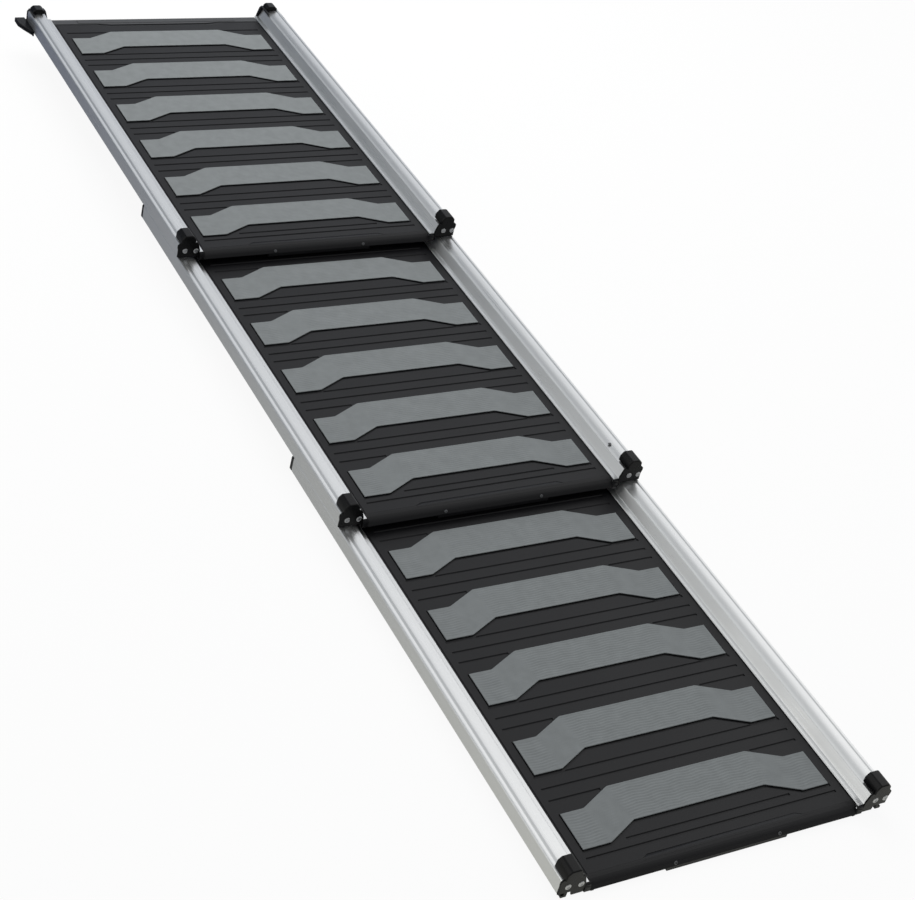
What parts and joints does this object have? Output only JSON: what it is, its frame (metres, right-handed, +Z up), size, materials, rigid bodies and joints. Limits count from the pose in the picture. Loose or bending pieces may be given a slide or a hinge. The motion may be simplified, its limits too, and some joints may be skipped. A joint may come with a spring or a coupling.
{
  "type": "telescoping dog ramp",
  "caption": "Telescoping dog ramp with stacked sliding sections, aluminium side rails and bent rubber treads on black decks, shown fully extended.",
  "frame": {"origin": "middle of the bounding box, at its base: the height of the lower section's front lip underside", "axes": "+Y along the ramp from the ground end to the vehicle end, +Z up and square to the decks, +X to the right seen from the ground end"},
  "size_m": [0.463, 1.7776, 0.0838],
  "materials": {
    "aluminium": "extruded, satin",
    "black_plastic": "moulded, satin black",
    "grey_plastic": "moulded, dark grey",
    "tread_rubber": "finely ribbed mid grey rubber",
    "nylon": "plain"
  },
  "bodies": {
    "lower_section": {"lower_rail_left": "aluminium", "lower_near_cap_left": "black_plastic", "lower_far_cap_left": "black_plastic", "lower_rail_right": "aluminium", "lower_near_cap_right": "black_plastic", "lower_far_cap_right": "black_plastic", "lower_deck": "black_plastic", "lower_front_lip": "black_plastic", "lower_rear_trim": "grey_plastic", "lower_tread_1": "tread_rubber", "lower_tread_2": "tread_rubber", "lower_tread_3": "tread_rubber", "lower_tread_4": "tread_rubber", "lower_tread_5": "tread_rubber", "lower_tread_6": "tread_rubber"},
    "middle_section": {"middle_rail_left": "aluminium", "middle_near_cap_left": "black_plastic", "middle_far_cap_left": "black_plastic", "middle_stop_left": "nylon", "middle_rail_right": "aluminium", "middle_near_cap_right": "black_plastic", "middle_far_cap_right": "black_plastic", "middle_stop_right": "nylon", "middle_deck": "black_plastic", "middle_front_lip": "black_plastic", "middle_rear_trim": "grey_plastic", "middle_tread_1": "tread_rubber", "middle_tread_2": "tread_rubber", "middle_tread_3": "tread_rubber", "middle_tread_4": "tread_rubber", "middle_tread_5": "tread_rubber", "middle_tread_6": "tread_rubber"},
    "upper_section": {"upper_rail_left": "aluminium", "upper_near_cap_left": "black_plastic", "upper_far_cap_left": "black_plastic", "upper_stop_left": "nylon", "upper_rail_right": "aluminium", "upper_near_cap_right": "black_plastic", "upper_far_cap_right": "black_plastic", "upper_stop_right": "nylon", "upper_deck": "black_plastic", "upper_front_lip": "black_plastic", "upper_rear_trim": "grey_plastic", "upper_tread_1": "tread_rubber", "upper_tread_2": "tread_rubber", "upper_tread_3": "tread_rubber", "upper_tread_4": "tread_rubber", "upper_tread_5": "tread_rubber", "upper_tread_6": "tread_rubber"}
  },
  "joints": [
    {"name": "middle_slide", "type": "slide", "parent": "lower_section", "child": "middle_section", "axis": [0, 1, 0], "range_m": [-0.518, 0]},
    {"name": "upper_slide", "type": "slide", "parent": "middle_section", "child": "upper_section", "axis": [0, 1, 0], "range_m": [-0.518, 0]}
  ]
}
